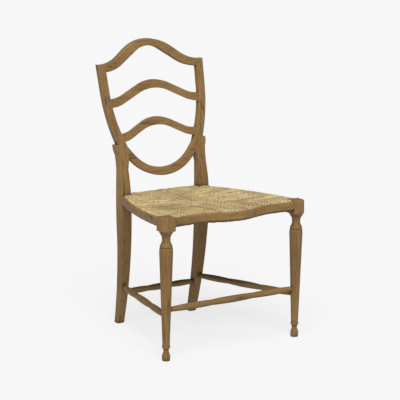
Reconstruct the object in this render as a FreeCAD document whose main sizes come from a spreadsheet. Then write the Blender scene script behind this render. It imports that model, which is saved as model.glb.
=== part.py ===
import FreeCAD, Part
import math
import os
import re

import Sketcher

# A shield-back dining chair with two ladder slats, turned legs and a rush seat.
# Millimetres and degrees. The floor is Z = 0, the sitter faces -Y and +X is
# the right of someone who looks at the front. The origin is the middle of the
# chair's footprint.

Vector = FreeCAD.Vector
SIDES = (("left", -1), ("right", 1))

# Driving sizes
SIZES = {
    # Whole chair
    "overall_width": 566,
    "overall_depth": 602,
    "overall_height": 984,
    # How closely pieces fit
    "pin_clearance": 0.12,
    "glue_gap": 0.5,
    # Front legs: the square block under the seat corner
    "block_width": 46,
    "block_bottom": 430,
    "block_top": 477,
    "block_outer_round": 15,
    "block_arris": 2.5,
    "block_dome": 6,
    # Front legs: the turning, as heights and diameters from the floor up
    "foot_diameter": 25.2,
    "foot_top_height": 20,
    "foot_swell": 0.9,
    "ankle_height": 30,
    "ankle_diameter": 18,
    "ankle_top_height": 37,
    "ring_height": 43,
    "ring_diameter": 26.4,
    "ring_top_height": 50.5,
    "shaft_foot_diameter": 24,
    "shaft_top_height": 364,
    "shaft_top_diameter": 45.1,
    "shaft_end_height": 374.3,
    "shaft_end_diameter": 42.4,
    "groove_height": 376,
    "groove_diameter": 38,
    "bead_height": 377.8,
    "bead_diameter": 41,
    "bead_end_height": 384,
    "bead_end_diameter": 38.4,
    "bead_swell": 0.8,
    "cup_foot_height": 396,
    "neck_height": 409,
    "neck_diameter": 28.2,
    "cup_rim_height": 425,
    "cup_rim_diameter": 45.2,
    "cup_cove": 1.1,
    # Back posts seen from the side
    "back_lean": 13,
    "knee_height": 497,
    "knee_radius": 600,
    "post_level_height": 400,
    "post_rear_level_height": 370,
    "rear_kick": 57,
    "post_foot_depth": 25,
    "post_depth": 39,
    "stile_thickness": 21,
    # Back posts seen from the front, as distances from the middle of the chair
    "post_foot_outer": 164.4,
    "post_foot_inner": 138.4,
    "post_hip_height": 300,
    "post_hip_outer": 176.6,
    "post_waist_height": 528,
    "post_waist_outer": 177,
    "post_outer_swell": 3.9,
    "post_neck_height": 608,
    "post_neck_outer": 179.8,
    "post_neck_hollow": 2.4,
    "shoulder_height": 638,
    "shoulder_outer": 185.1,
    "shoulder_swell": 2,
    "post_seat_inner_height": 440,
    "post_seat_inner": 140.3,
    "notch_height": 556,
    "notch_inner": 145,
    "horn_foot_height": 588,
    "horn_foot_inner": 137,
    "horn_height": 624,
    "horn_inner": 135,
    "stile_foot_outer": 174.3,
    "stile_foot_inner": 139.5,
    "stile_bend_height": 820,
    "stile_bend_outer": 209.5,
    "stile_bend_inner": 182.3,
    "stile_outer_swell": 7.3,
    "stile_inner_swell": 9.3,
    "post_arris": 1.6,
    # Crest rail
    "crest_half_width": 213.3,
    "crest_corner_drop": 76.6,
    "crest_corner_height": 25.4,
    "crest_corner_width": 28.2,
    "crest_level_end": 10,
    "crest_height": 23.6,
    "crest_thickness": 19,
    "crest_bow": 15,
    "crest_top_bend": 0.852,
    "crest_top_share": 0.56,
    "crest_under_bend": 0.719,
    "crest_under_share": 0.38,
    "crest_arris": 2.5,
    # Ladder slats
    "slat_setback": 1.8,
    "slat_thickness": 11,
    "slat_tenon": 12,
    "slat_tenon_thickness": 6,
    "slat_tenon_shoulder": 4,
    "upper_slat_top": 845.5,
    "upper_slat_height": 28,
    "upper_slat_half": 179,
    "upper_slat_drop": 55.6,
    "upper_slat_bend": 0.7245,
    "upper_slat_share": 0.544,
    "upper_slat_bow": 4,
    "lower_slat_top": 718,
    "lower_slat_height": 27,
    "lower_slat_half": 150,
    "lower_slat_drop": 46,
    "lower_slat_bend": 0.75,
    "lower_slat_share": 0.579,
    "lower_slat_bow": 13,
    # Shield bow, the round foot of the shield
    "bow_bottom": 521,
    "bow_outer_radius": 172,
    "bow_width": 27.3,
    "bow_inner_radius": 146,
    "bow_turn_half": 112,
    "bow_end_overrun": 12,
    "bow_thickness": 15.5,
    "bow_arris": 2,
    # Dowels
    "dowel_diameter": 6,
    "bow_dowel_height": 605,
    "bow_dowel_length": 26,
    "crest_dowel_length": 24,
    "crest_dowel_above_inner_corner": 11,
    # Seat, measured along its slope
    "seat_slope": 1,
    "seat_frame_height": 447,
    "strip_height": 25.4,
    "strip_thickness": 12,
    "strip_round": 3,
    "strip_arris": 1.5,
    "strip_setback": 3,
    "strip_crown": 31,
    "strip_ebb": 5,
    "strip_ebb_half": 156,
    "strip_bend": 0.962,
    "strip_share": 0.49,
    "strip_end_swell": 1.3,
    "side_strip_thickness": 11,
    "side_strip_bow": 17,
    "side_strip_inset": 1,
    "rush_over_rail": 7,
    "rush_beside_rail": 5,
    "rush_rise": 3.6,
    "rush_round": 5,
    "rush_hollow": 8,
    "rush_hollow_run": 90,
    "rush_behind_rail": 4,
    "rail_height": 24,
    "front_rail_depth": 24,
    "side_rail_width": 19,
    "back_rail_depth": 20,
    "back_rail_setback": 13.5,
    "rail_tenon": 12,
    "rail_tenon_height": 16,
    "rail_tenon_thickness": 10,
    "side_tenon_thickness": 12,
    "front_tenon_inset": 2,
    "back_tenon_inset": 2,
    "over_cut": 1,
    "stuffing_gap": 16,
    # Stretchers, all of one turned form
    "stretcher_pin_diameter": 13,
    "stretcher_pin_start": 3,
    "stretcher_pin_end": 17,
    "stretcher_neck_diameter": 16,
    "stretcher_end_swell": 2.3,
    "stretcher_waist_share": 0.34,
    "stretcher_waist_diameter": 18.8,
    "stretcher_middle_swell": 2.2,
    "stretcher_hole_length": 57,
    "front_stretcher_height": 169,
    "side_stretcher_front_height": 149.5,
    "side_stretcher_rear_height": 136.5,
    "stretcher_post_half": 153.5,
    "rear_stretcher_height": 115,
}

document = FreeCAD.newDocument("ShieldBackChair")
sheet = document.addObject("Spreadsheet::Sheet", "Sizes")
for row, (alias, number) in enumerate(SIZES.items(), start=1):
    sheet.set(f"A{row}", alias)
    sheet.set(f"B{row}", str(number))
    sheet.setAlias(f"B{row}", alias)
document.recompute()


def ex(text):
    """A formula over the size names, as an expression on the spreadsheet."""
    return re.sub(
        r"[a-z_]+",
        lambda word: "Sizes." + word.group(0) if word.group(0) in SIZES else word.group(0),
        str(text),
    )


def value(text):
    return float(sheet.evalExpression(ex(text)))


def bind(target, name, text):
    target.setExpression(name, ex(text))


def place(target, x, y, z, axis="1;0;0", angle="0", name="Placement"):
    bind(target, name, f"placement(vector({x};{y};{z}); rotation(vector({axis}); {angle}))")


# Lines that several pieces share
LEG_X = "((overall_width-block_width)/2)"
LEG_Y = "(-overall_depth/2+strip_crown+block_width/2-strip_setback)"
BACK_PLANE = (
    "(overall_depth/2-(overall_height)*tan(back_lean)"
    "-(crest_bow+crest_thickness)/cos(back_lean))"
)
CORNER_Z = "(overall_height-crest_corner_drop)"
MITRE_Z = f"({CORNER_Z}-crest_corner_height)"
MITRE_X = "(crest_half_width-crest_corner_width)"


def lean_y(z):
    """Y of the front of the leaning back at height z."""
    return f"({BACK_PLANE}+({z})*tan(back_lean))"


POST_Y = lean_y("knee_height")


# Lengths in mm for telling edges apart: the same place, and a short edge
NEAR = 1
SHORT = 8


# Sketch helpers: every corner and every radius is bound to the spreadsheet
def new_body(label):
    body = document.addObject("PartDesign::Body", label)
    body.Label = label
    return body


def origin_plane(body, role):
    return [f for f in body.Origin.OriginFeatures if f.Role == role][0]


def new_sketch(body, name, role):
    sketch = body.newObject("Sketcher::SketchObject", f"{body.Name}_{name}")
    sketch.AttachmentSupport = (origin_plane(body, role), [""])
    sketch.MapMode = "FlatFace"
    return sketch


def arc_radius(start, end, bulge):
    chord = f"(pow(({end[0]})-({start[0]});2)+pow(({end[1]})-({start[1]});2))"
    return f"({chord}/(8*abs({bulge}))+abs({bulge})/2)"


def draw(sketch, corners):
    """Closed outline of (x, y) or (x, y, bulge) corners.

    A bulge bends the edge that leaves the corner: to the left of the way
    round when it is positive, and to the right when it is negative.
    """
    first = sketch.GeometryCount
    count = len(corners)
    spots = [Vector(value(c[0]), value(c[1]), 0) for c in corners]
    starts = []
    ends = []
    radii = []
    for i, corner in enumerate(corners):
        p = spots[i]
        q = spots[(i + 1) % count]
        if len(corner) == 2:
            sketch.addGeometry(Part.LineSegment(p, q))
            starts.append(1)
            ends.append(2)
            continue
        bulge = value(corner[2])
        formula = arc_radius(corner, corners[(i + 1) % count], corner[2])
        radius = value(formula)
        along = q - p
        left = Vector(-along.y, along.x, 0).normalize()
        middle = (p + q) * 0.5
        sign = 1 if bulge > 0 else -1
        centre = middle - left * sign * (radius - abs(bulge))
        a, b = (q, p) if bulge > 0 else (p, q)
        angle_a = math.atan2(a.y - centre.y, a.x - centre.x)
        angle_b = math.atan2(b.y - centre.y, b.x - centre.x)
        if angle_b < angle_a:
            angle_b += 2 * math.pi
        circle = Part.Circle(centre, Vector(0, 0, 1), radius)
        sketch.addGeometry(Part.ArcOfCircle(circle, angle_a, angle_b))
        starts.append(2 if bulge > 0 else 1)
        ends.append(1 if bulge > 0 else 2)
        radii.append((first + i, formula, radius))
    for i in range(count):
        j = (i + 1) % count
        sketch.addConstraint(
            Sketcher.Constraint("Coincident", first + i, ends[i], first + j, starts[j])
        )
    for i, corner in enumerate(corners):
        for kind, axis, text, number in (
            ("DistanceX", -2, corner[0], spots[i].x),
            ("DistanceY", -1, corner[1], spots[i].y),
        ):
            if str(text) == "0":
                rule = Sketcher.Constraint("PointOnObject", first + i, starts[i], axis)
                sketch.addConstraint(rule)
                continue
            rule = Sketcher.Constraint(kind, -1, 1, first + i, starts[i], number)
            index = sketch.addConstraint(rule)
            bind(sketch, f"Constraints[{index}]", text)
    for edge, formula, radius in radii:
        index = sketch.addConstraint(Sketcher.Constraint("Radius", edge, radius))
        bind(sketch, f"Constraints[{index}]", formula)


def draw_box(sketch, x_half, y_low, y_high):
    draw(sketch, [(f"-({x_half})", y_low), (x_half, y_low), (x_half, y_high), (f"-({x_half})", y_high)])


def wave(half, crown, drop, bend, share):
    """Half-waves of a serpentine edge from -half to half, highest in the middle.

    The round crown and the hollow ends meet a straight slope. A bend of 1
    leaves no straight, one of 0.5 no curve, and share is the crown's part of
    the two radii.
    """
    angle = f"(2*({bend})*atan(({drop})/({half})))"
    total = f"((({half})*sin({angle})-({drop})*cos({angle}))/(1-cos({angle})))"
    r_crown = f"({total}*({share}))"
    r_end = f"({total}*(1-({share})))"
    x_crown = f"({r_crown}*sin({angle}))"
    y_crown = f"(({crown})-{r_crown}*(1-cos({angle})))"
    x_end = f"(({half})-{r_end}*sin({angle}))"
    y_end = f"(({crown})-({drop})+{r_end}*(1-cos({angle})))"
    y_low = f"(({crown})-({drop}))"
    crown_bulge = f"({r_crown}*(1-cos({angle})))"
    end_bulge = f"(-{r_end}*(1-cos(({angle})/2)))"
    return [
        (f"-({half})", y_low, end_bulge),
        (f"-{x_end}", y_end),
        (f"-{x_crown}", y_crown, crown_bulge),
        (x_crown, y_crown),
        (x_end, y_end, end_bulge),
        (half, y_low),
    ]


def bowed(half, reach, rear, bow):
    """A rear edge that bows out by bow between two level ends."""
    return [(f"-{reach}", rear), (f"-{half}", rear, bow), (half, rear), (reach, rear)]


def backwards(corners):
    """The same run of corners, walked from its end to its start."""
    turned = []
    count = len(corners)
    for i in range(count - 1, -1, -1):
        bulge = corners[i - 1][2:] if i > 0 else ()
        turned.append(corners[i][:2] + tuple(f"(-({b}))" for b in bulge))
    return turned


def mirrored(corners):
    """The outline on the other side of the chair."""
    return [(f"-({c[0]})", c[1]) + tuple(f"(-({b}))" for b in c[2:]) for c in corners]


def shifted(corners, dx="0", dy="0"):
    return [(f"(({c[0]})+({dx}))", f"(({c[1]})+({dy}))") + tuple(c[2:]) for c in corners]


# Feature helpers
def pad(body, sketch, length, both=False, name="Pad"):
    feature = body.newObject("PartDesign::Pad", f"{body.Name}_{name}")
    feature.Profile = sketch
    bind(feature, "Length", length)
    if both:
        feature.SideType = "Symmetric"
    sketch.Visibility = False
    document.recompute()
    return feature


def trim(body, sketch, length, name="Trim"):
    """Cut away what the sketch covers, to both sides of its plane."""
    before = body.Shape.Volume
    feature = body.newObject("PartDesign::Pocket", f"{body.Name}_{name}")
    feature.Profile = sketch
    feature.SideType = "Symmetric"
    bind(feature, "Length", length)
    document.recompute()
    if not body.Shape.Volume < before:
        raise RuntimeError(f"{body.Label}: {name} cut nothing")
    return feature


def turn(body, corners, name="Turning"):
    sketch = new_sketch(body, name + "Profile", "XZ_Plane")
    draw(sketch, corners)
    feature = body.newObject("PartDesign::Revolution", f"{body.Name}_{name}")
    feature.Profile = sketch
    feature.ReferenceAxis = (sketch, ["V_Axis"])
    feature.Angle = 360
    document.recompute()
    return feature


def soften(body, size, wanted, name="Arrises", rounded=False):
    """Break the edges that the test picks, with a flat or with a round."""
    tip = body.Tip
    picked = [
        f"Edge{i}" for i, edge in enumerate(tip.Shape.Edges, start=1) if wanted(edge)
    ]
    kind, measure = ("Fillet", "Radius") if rounded else ("Chamfer", "Size")
    feature = body.newObject(f"PartDesign::{kind}", f"{body.Name}_{name}")
    feature.Base = (tip, picked)
    bind(feature, measure, size)
    document.recompute()
    if "Invalid" in feature.State or not feature.Shape.isValid():
        raise RuntimeError(f"{body.Label}: {name} failed on {len(picked)} edges")
    return feature


def slot(body, name, size, x, y, z, angle="0"):
    """A square mortise, placed by its corner and tipped about X."""
    before = body.Shape.Volume
    feature = body.newObject("PartDesign::SubtractiveBox", f"{body.Name}_{name}")
    for side, text in zip(("Length", "Width", "Height"), size):
        bind(feature, side, text)
    place(feature, x, y, z, angle=angle)
    document.recompute()
    if not body.Shape.Volume < before:
        raise RuntimeError(f"{body.Label}: {name} cut nothing")


def bore(body, name, diameter, length, x, y, z, axis, angle):
    """A round hole that starts at x, y, z and runs along the turned Z axis."""
    before = body.Shape.Volume
    feature = body.newObject("PartDesign::SubtractiveCylinder", f"{body.Name}_{name}")
    bind(feature, "Radius", f"({diameter})/2+pin_clearance")
    bind(feature, "Height", length)
    place(feature, x, y, z, axis, angle)
    document.recompute()
    if not body.Shape.Volume < before:
        raise RuntimeError(f"{body.Label}: {name} cut nothing")


def fitted(label, blank, neighbours):
    """The blank with every neighbour cut out of it, so that the faces meet."""
    blank.Label = label + "_blank"
    piece = blank
    for neighbour in neighbours:
        cut = document.addObject("Part::Cut", f"{label}_fit")
        cut.Base = piece
        cut.Tool = neighbour
        cut.Label = f"{label}_fit_{neighbour.Label}"
        document.recompute()
        piece = cut
    piece.Label = label
    return piece


# Back posts: one sawn piece each, from the floor to the corner of the crest
def tangent_bulge(dy, dz):
    """Bulge of an arc that ends upright, dy across and dz along."""
    return f"(sqrt(pow({dy};2)+pow({dz};2))/2*tan(atan(({dy})/({dz}))/2))"


def post_side_outline():
    knee = "(knee_radius*tan(back_lean/2))"
    shoulder_back = f"({lean_y('shoulder_height')}+stile_thickness/cos(back_lean))"
    back_swing = f"({shoulder_back}-({POST_Y}+post_depth))"
    kick_back = "(rear_kick+post_foot_depth-post_depth)"
    return [
        (f"({POST_Y}+rear_kick)", "0", tangent_bulge("rear_kick", "post_level_height")),
        (POST_Y, "post_level_height"),
        (POST_Y, f"(knee_height-{knee})", f"({knee}*tan(back_lean/4)*cos(back_lean/2))"),
        (f"({POST_Y}+{knee}*sin(back_lean))", f"(knee_height+{knee}*cos(back_lean))"),
        (lean_y("overall_height"), "overall_height"),
        (f"({lean_y('overall_height')}+stile_thickness/cos(back_lean))", "overall_height"),
        (
            shoulder_back,
            "shoulder_height",
            f"(-{tangent_bulge(back_swing, 'shoulder_height-post_rear_level_height')})",
        ),
        (
            f"({POST_Y}+post_depth)",
            "post_rear_level_height",
            f"(-{tangent_bulge(kick_back, 'post_rear_level_height')})",
        ),
        (f"({POST_Y}+rear_kick+post_foot_depth)", "0"),
    ]


def post_front_outline(side):
    corners = [
        ("post_foot_inner", "0"),
        ("post_foot_outer", "0"),
        ("post_hip_outer", "post_hip_height", "-post_outer_swell"),
        ("post_waist_outer", "post_waist_height", "post_neck_hollow"),
        ("post_neck_outer", "post_neck_height", "-shoulder_swell"),
        ("shoulder_outer", "shoulder_height"),
        ("stile_foot_outer", "shoulder_height", "-stile_outer_swell"),
        ("stile_bend_outer", "stile_bend_height"),
        ("crest_half_width", CORNER_Z),
        (MITRE_X, MITRE_Z),
        ("stile_bend_inner", "stile_bend_height", "stile_inner_swell"),
        ("stile_foot_inner", "shoulder_height"),
        ("horn_inner", "horn_height"),
        ("horn_foot_inner", "horn_foot_height"),
        ("notch_inner", "notch_height"),
        ("post_seat_inner", "post_seat_inner_height"),
    ]
    if side > 0:
        return corners
    return mirrored(corners)


def back_post(name, side):
    body = new_body(f"back_post_{name}")
    front = new_sketch(body, "FrontOutline", "XZ_Plane")
    draw(front, post_front_outline(side))
    pad(body, front, "2*overall_depth", both=True)
    profile = new_sketch(body, "SideOutline", "YZ_Plane")
    draw(
        profile,
        [
            ("-overall_depth", "-overall_height"),
            ("overall_depth", "-overall_height"),
            ("overall_depth", "2*overall_height"),
            ("-overall_depth", "2*overall_height"),
        ],
    )
    draw(profile, post_side_outline())
    trim(body, profile, "2*overall_width")
    notch = value("notch_height")
    horn = value("horn_foot_height")
    shoulder = value("shoulder_height")
    shoulder_rear = value(f"{lean_y('post_neck_height')}+stile_thickness")

    def arris(edge):
        """Long edges, but not in the notch or at the back of the outside above the neck."""
        box = edge.BoundBox
        upright = box.ZLength > SHORT and box.ZLength > box.XLength
        in_notch = box.ZMin > notch - NEAR and box.ZMax < horn + NEAR
        reach = max(abs(box.XMin), abs(box.XMax))
        at_shoulder = abs(box.ZMax - shoulder) < NEAR and reach > value("shoulder_outer") - NEAR
        on_stile = reach > value("stile_bend_inner") + SHORT
        rear_outside = box.YMin > shoulder_rear and (at_shoulder or on_stile)
        return upright and not in_notch and not rear_outside

    soften(body, "post_arris", arris)
    for row in SLATS:
        slat_mortise(body, side, row)
    seat_mortises(body, side)
    side_stretcher_hole(body, side)
    rear_stretcher_hole(body, side)
    bow_dowel_hole(body, side)
    crest_dowel_hole(body, side)
    return body


# Ladder slats: name, height range of the tenon, and how far it reaches
SLATS = ("upper_slat", "lower_slat")


def slat_tenon_middle(row):
    return f"({row}_top-{row}_drop-{row}_height/2)"


def slat_mortise(body, side, row):
    """Slot in the stile for a slat's tenon, tipped with the back's lean."""
    height = f"({row}_height-2*slat_tenon_shoulder)"
    middle = slat_tenon_middle(row)
    reach = f"({row}_half+slat_tenon+glue_gap)"
    x = f"({row}_half-slat_tenon)" if side > 0 else f"-{reach}"
    deep = "(slat_setback+(slat_thickness-slat_tenon_thickness)/2)"
    y = f"({lean_y(middle)}+{deep}*cos(back_lean)-{height}/2*sin(back_lean))"
    z = f"({middle}-{deep}*sin(back_lean)-{height}/2*cos(back_lean))"
    size = ("2*slat_tenon+glue_gap", "slat_tenon_thickness", height)
    slot(body, f"{row}_mortise", size, x, y, z, "-back_lean")


def leaning_plate(body, front, plan, thickness):
    """A plate sawn to its front outline and to its outline from above.

    The outline from above is drawn square to the lean of the back, from the
    back's front plane rearwards.
    """
    face = new_sketch(body, "FrontOutline", "XZ_Plane")
    draw(face, front)
    pad(body, face, "2*overall_depth", both=True)
    above = new_sketch(body, "PlanOutline", "XY_Plane")
    place(above, "0", BACK_PLANE, "0", angle="-back_lean", name="AttachmentOffset")
    draw_box(above, "2*overall_width", "-3*overall_depth", "3*overall_depth")
    draw(above, plan + backwards(shifted(plan, dy=f"(-({thickness}))")))
    trim(body, above, "4*overall_height")


def slat(row):
    body = new_body(f"{row}_blank")
    reach = f"({row}_half+slat_tenon)"
    drop = f"{row}_drop"
    top = wave(f"{row}_half", f"{row}_top", drop, f"{row}_bend", f"{row}_share")
    top = [(f"-{reach}", f"({row}_top-{drop})")] + top + [(reach, f"({row}_top-{drop})")]
    front = top + backwards(shifted(top, dy=f"-{row}_height"))
    rear = "(slat_setback+slat_thickness)"
    plan = bowed(f"{row}_half", reach, rear, f"{row}_bow")
    leaning_plate(body, front, plan, "slat_thickness")
    return body


def shield_bow():
    """The round foot of the shield, between the posts' horns."""
    body = new_body("shield_bow_blank")
    end = "(horn_inner+bow_end_overrun)"
    outer_end = f"(bow_bottom+bow_outer_radius-sqrt(pow(bow_outer_radius;2)-pow({end};2)))"
    outer_bulge = f"(-({outer_end}-bow_bottom))"
    drop = "(bow_inner_radius-sqrt(pow(bow_inner_radius;2)-pow(bow_turn_half;2)))"
    turn_z = f"(bow_bottom+bow_width+{drop})"
    slope_there = "(bow_turn_half/sqrt(pow(bow_inner_radius;2)-pow(bow_turn_half;2)))"
    inner_end = f"({turn_z}+({end}-bow_turn_half)*{slope_there})"
    front = [
        (f"-{end}", outer_end, outer_bulge),
        (end, outer_end),
        (end, inner_end),
        ("bow_turn_half", turn_z, drop),
        ("-bow_turn_half", turn_z),
        (f"-{end}", inner_end),
    ]
    rear = "(slat_setback+bow_thickness)"
    plan = [(f"-{end}", rear), (end, rear)]
    leaning_plate(body, front, plan, "bow_thickness")
    soften(body, "bow_arris", lambda edge: edge.BoundBox.XLength > NEAR)
    for _, side in SIDES:
        bow_dowel_hole(body, side)
    return body


def crest_rail():
    """The serpentine top rail, mitred to the stiles at both corners."""
    body = new_body("crest_rail")
    half = "(crest_half_width-crest_level_end)"
    top = wave(half, "overall_height", "crest_corner_drop", "crest_top_bend", "crest_top_share")
    under_top = "(overall_height-crest_height)"
    under_drop = f"({under_top}-{MITRE_Z})"
    under = wave(MITRE_X, under_top, under_drop, "crest_under_bend", "crest_under_share")
    corner = [("crest_half_width", CORNER_Z)]
    front = [(f"-{c[0]}", c[1]) for c in corner] + top + corner + backwards(under)
    reach = "(crest_half_width+crest_level_end)"
    plan = bowed(MITRE_X, reach, "crest_thickness", "crest_bow")
    leaning_plate(body, front, plan, "crest_thickness")
    corner_height = value("crest_corner_height")

    def along(edge):
        """Edges that run along the rail, and not across its mitred ends."""
        box = edge.BoundBox
        steep = abs(box.ZLength - corner_height) < NEAR
        return box.XLength > SHORT and not (steep and box.XLength < value("crest_corner_width") + NEAR)

    soften(body, "crest_arris", along)
    for _, side in SIDES:
        crest_dowel_hole(body, side)
    return body


# Dowels
BOW_DOWEL_Y = f"({lean_y('bow_dowel_height')}+(slat_setback+bow_thickness/2)/cos(back_lean))"
CREST_DOWEL_Z = f"({MITRE_Z}+crest_dowel_above_inner_corner)"
CREST_DOWEL_Y = f"({lean_y(CREST_DOWEL_Z)}+crest_thickness/2/cos(back_lean))"
CREST_DOWEL_X = (
    f"({MITRE_X}+crest_dowel_above_inner_corner*crest_corner_width/crest_corner_height)"
)


def dowel_hole(body, name, side, x_middle, length, y, z):
    whole = f"({length}+2*glue_gap)"
    x = f"({x_middle}-{whole}/2)" if side > 0 else f"(-({x_middle})-{whole}/2)"
    bore(body, name, "dowel_diameter", whole, x, y, z, "0;1;0", "90")


def bow_dowel_hole(body, side):
    dowel_hole(
        body, f"bow_dowel_hole_{side + 1}", side, "horn_inner", "bow_dowel_length",
        BOW_DOWEL_Y, "bow_dowel_height",
    )


def crest_dowel_hole(body, side):
    dowel_hole(
        body, f"crest_dowel_hole_{side + 1}", side, CREST_DOWEL_X, "crest_dowel_length",
        CREST_DOWEL_Y, CREST_DOWEL_Z,
    )


def dowel(label, side, x_middle, length, y, z):
    pin = document.addObject("Part::Cylinder", label)
    pin.Label = label
    bind(pin, "Radius", "dowel_diameter/2")
    bind(pin, "Height", length)
    x = f"({x_middle}-{length}/2)" if side > 0 else f"(-({x_middle})-{length}/2)"
    place(pin, x, y, z, "0;1;0", "90")
    return pin


# Front legs: a square block over a turned, tapering shaft
def front_leg(name, side):
    body = new_body(f"front_leg_{name}")
    place(body, f"{side}*{LEG_X}", LEG_Y, "0")
    turn(
        body,
        [
            ("0", "0"),
            ("foot_diameter/2", "0", "-foot_swell"),
            ("foot_diameter/2", "foot_top_height"),
            ("ankle_diameter/2", "ankle_height"),
            ("ankle_diameter/2", "ankle_top_height"),
            ("ring_diameter/2", "ring_height"),
            ("ring_diameter/2", "ring_top_height"),
            ("shaft_foot_diameter/2", "ring_top_height"),
            ("shaft_top_diameter/2", "shaft_top_height"),
            ("shaft_end_diameter/2", "shaft_end_height"),
            ("groove_diameter/2", "groove_height"),
            ("bead_diameter/2", "bead_height", "-bead_swell"),
            ("bead_end_diameter/2", "bead_end_height"),
            ("neck_diameter/2", "cup_foot_height"),
            ("neck_diameter/2", "neck_height", "cup_cove"),
            ("cup_rim_diameter/2", "cup_rim_height"),
            ("cup_rim_diameter/2", "block_bottom"),
            ("0", "block_bottom"),
        ],
    )
    block = body.newObject("PartDesign::AdditiveBox", f"{body.Name}_Block")
    bind(block, "Length", "block_width")
    bind(block, "Width", "block_width")
    bind(block, "Height", "block_top-block_bottom")
    place(block, "-block_width/2", "-block_width/2", "block_bottom")
    document.recompute()
    half = value("block_width") / 2
    block_foot = value("block_bottom")

    def upright(edge, outer):
        box = edge.BoundBox
        standing = box.ZLength > 20 and box.ZMin > block_foot - 1 and box.XLength < 0.1
        corner = box.XMin * side > half - 1 and box.YMin < 1 - half
        return standing and corner == outer

    def top_rim(edge):
        return edge.BoundBox.ZMin > value("block_top") - 0.1

    soften(body, "block_outer_round", lambda edge: upright(edge, True), "OuterCorner", True)
    soften(body, "block_arris", lambda edge: upright(edge, False), "Corners", True)
    soften(body, "block_dome", top_rim, "Dome", True)
    leg_mortises(body, side)
    leg_stretcher_holes(body, side)
    return body


# Seat frame: everything on it shares one frame that slopes back with the seat
def slope(target):
    place(target, "0", LEG_Y, "seat_frame_height", angle="-seat_slope")


def on_slope(y, z):
    """World Y and Z, measured from the leg's axis, of a place on the slope."""
    return (
        f"(({y})*cos(seat_slope)+({z})*sin(seat_slope))",
        f"(seat_frame_height-({y})*sin(seat_slope)+({z})*cos(seat_slope))",
    )


CORNER_Y = "(strip_setback-block_width/2)"
BLOCK_INNER = "(overall_width/2-block_width)"
POST_FACE = f"({POST_Y}-{LEG_Y})"
RAIL_FOOT = "(strip_height+rush_rise-rush_over_rail-rail_height)"
RAIL_TOP = "(strip_height+rush_rise-rush_over_rail)"
TENON_FOOT = f"({RAIL_FOOT}+(rail_height-rail_tenon_height)/2)"
SIDE_FRONT_X = "(overall_width/2-side_strip_inset)"
POST_OUTER = "(post_hip_outer+post_outer_swell)"
SIDE_LEAN = f"(({SIDE_FRONT_X}-{POST_OUTER})/({POST_FACE}-block_width/2))"


def serpentine(offset, half):
    """The seat front's double curve, offset rearwards from its outer face."""
    level = f"(-({CORNER_Y})-({offset}))"
    crown = f"({level}+strip_crown)"
    ebb = f"(strip_crown+strip_ebb)"
    run = wave("strip_ebb_half", crown, ebb, "strip_bend", "strip_share")
    last = run[-1] + ("-strip_end_swell",)
    ends = [(f"-({half})", level, "-strip_end_swell")]
    whole = ends + run[:-1] + [last, (half, level)]
    return [(c[0], f"(-({c[1]}))") + tuple(f"(-({b}))" for b in c[2:]) for c in whole]


def side_line(offset, y):
    """X of the seat's side, offset inwards from the strip's outer face."""
    return f"({SIDE_FRONT_X}-({offset})-(({y})-block_width/2)*{SIDE_LEAN})"


def plan_piece(label, outline, foot, height):
    """A piece sawn to an outline from above, lying on the seat's slope."""
    body = new_body(label)
    slope(body)
    sketch = new_sketch(body, "PlanOutline", "XY_Plane")
    bind(sketch, "AttachmentOffset", f"placement(vector(0;0;{foot}); rotation(vector(1;0;0); 0))")
    draw(sketch, outline)
    pad(body, sketch, height)
    return body


def local_edges(level, least):
    """Edges that run round a piece at one height, on the seat's slope."""

    def wanted(edge):
        ends = [vertex.Point.z for vertex in edge.Vertexes]
        return all(abs(z - level) < 0.01 for z in ends) and edge.Length > least

    return wanted


def front_strip():
    half = BLOCK_INNER
    outer = serpentine("0", half)
    inner = serpentine("strip_thickness", half)
    body = plan_piece("front_edge_strip", outer + backwards(inner), "0", "strip_height")
    top = value("strip_height")
    soften(body, "strip_round", local_edges(top, 20), "RoundedTop")
    soften(body, "strip_arris", local_edges(0, 20), "Underside")
    return body


def leg_block(name, side):
    """The leg's block without its rounds, which the side strip butts against."""
    block = document.addObject("Part::Box", f"leg_block_{name}")
    bind(block, "Length", "block_width")
    bind(block, "Width", "block_width")
    bind(block, "Height", "block_top-block_bottom")
    x = f"({side}*{LEG_X}-block_width/2)"
    place(block, x, f"({LEG_Y}-block_width/2)", "block_bottom")
    return block


def side_strip(name, side):
    front = "(block_width/2-glue_gap)"
    rear = f"({POST_FACE}+2*glue_gap)"
    outline = [
        (side_line("0", front), front, "-side_strip_bow"),
        (side_line("0", rear), rear),
        (side_line("side_strip_thickness", rear), rear, "side_strip_bow"),
        (side_line("side_strip_thickness", front), front),
    ]
    outline = outline if side > 0 else mirrored(outline)
    body = plan_piece(f"side_edge_strip_{name}_blank", outline, "0", "strip_height")
    soften(body, "strip_round", local_edges(value("strip_height"), 60), "RoundedTop")
    soften(body, "strip_arris", local_edges(0, 60), "Underside")
    return body


def front_rail():
    reach = f"({BLOCK_INNER}+rail_tenon)"
    offset = "(strip_thickness+rush_beside_rail)"
    outer = serpentine(offset, reach)
    inner = serpentine(f"({offset}+front_rail_depth)", reach)
    return plan_piece("front_rail_blank", outer + backwards(inner), RAIL_FOOT, "rail_height")


def side_rail(name, side):
    front = "(block_width/2-rail_tenon)"
    rear = f"({POST_FACE}+rail_tenon)"
    outer = "(side_strip_thickness+rush_beside_rail)"
    inner = f"({outer}+side_rail_width)"
    outline = [
        (side_line(outer, front), front, "-side_strip_bow"),
        (side_line(outer, rear), rear),
        (side_line(inner, rear), rear, "side_strip_bow"),
        (side_line(inner, front), front),
    ]
    outline = outline if side > 0 else mirrored(outline)
    return plan_piece(f"side_rail_{name}_blank", outline, RAIL_FOOT, "rail_height")


BACK_RAIL_FRONT = f"({POST_FACE}+back_rail_setback)"
BACK_RAIL_REAR = f"({BACK_RAIL_FRONT}+back_rail_depth)"


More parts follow.
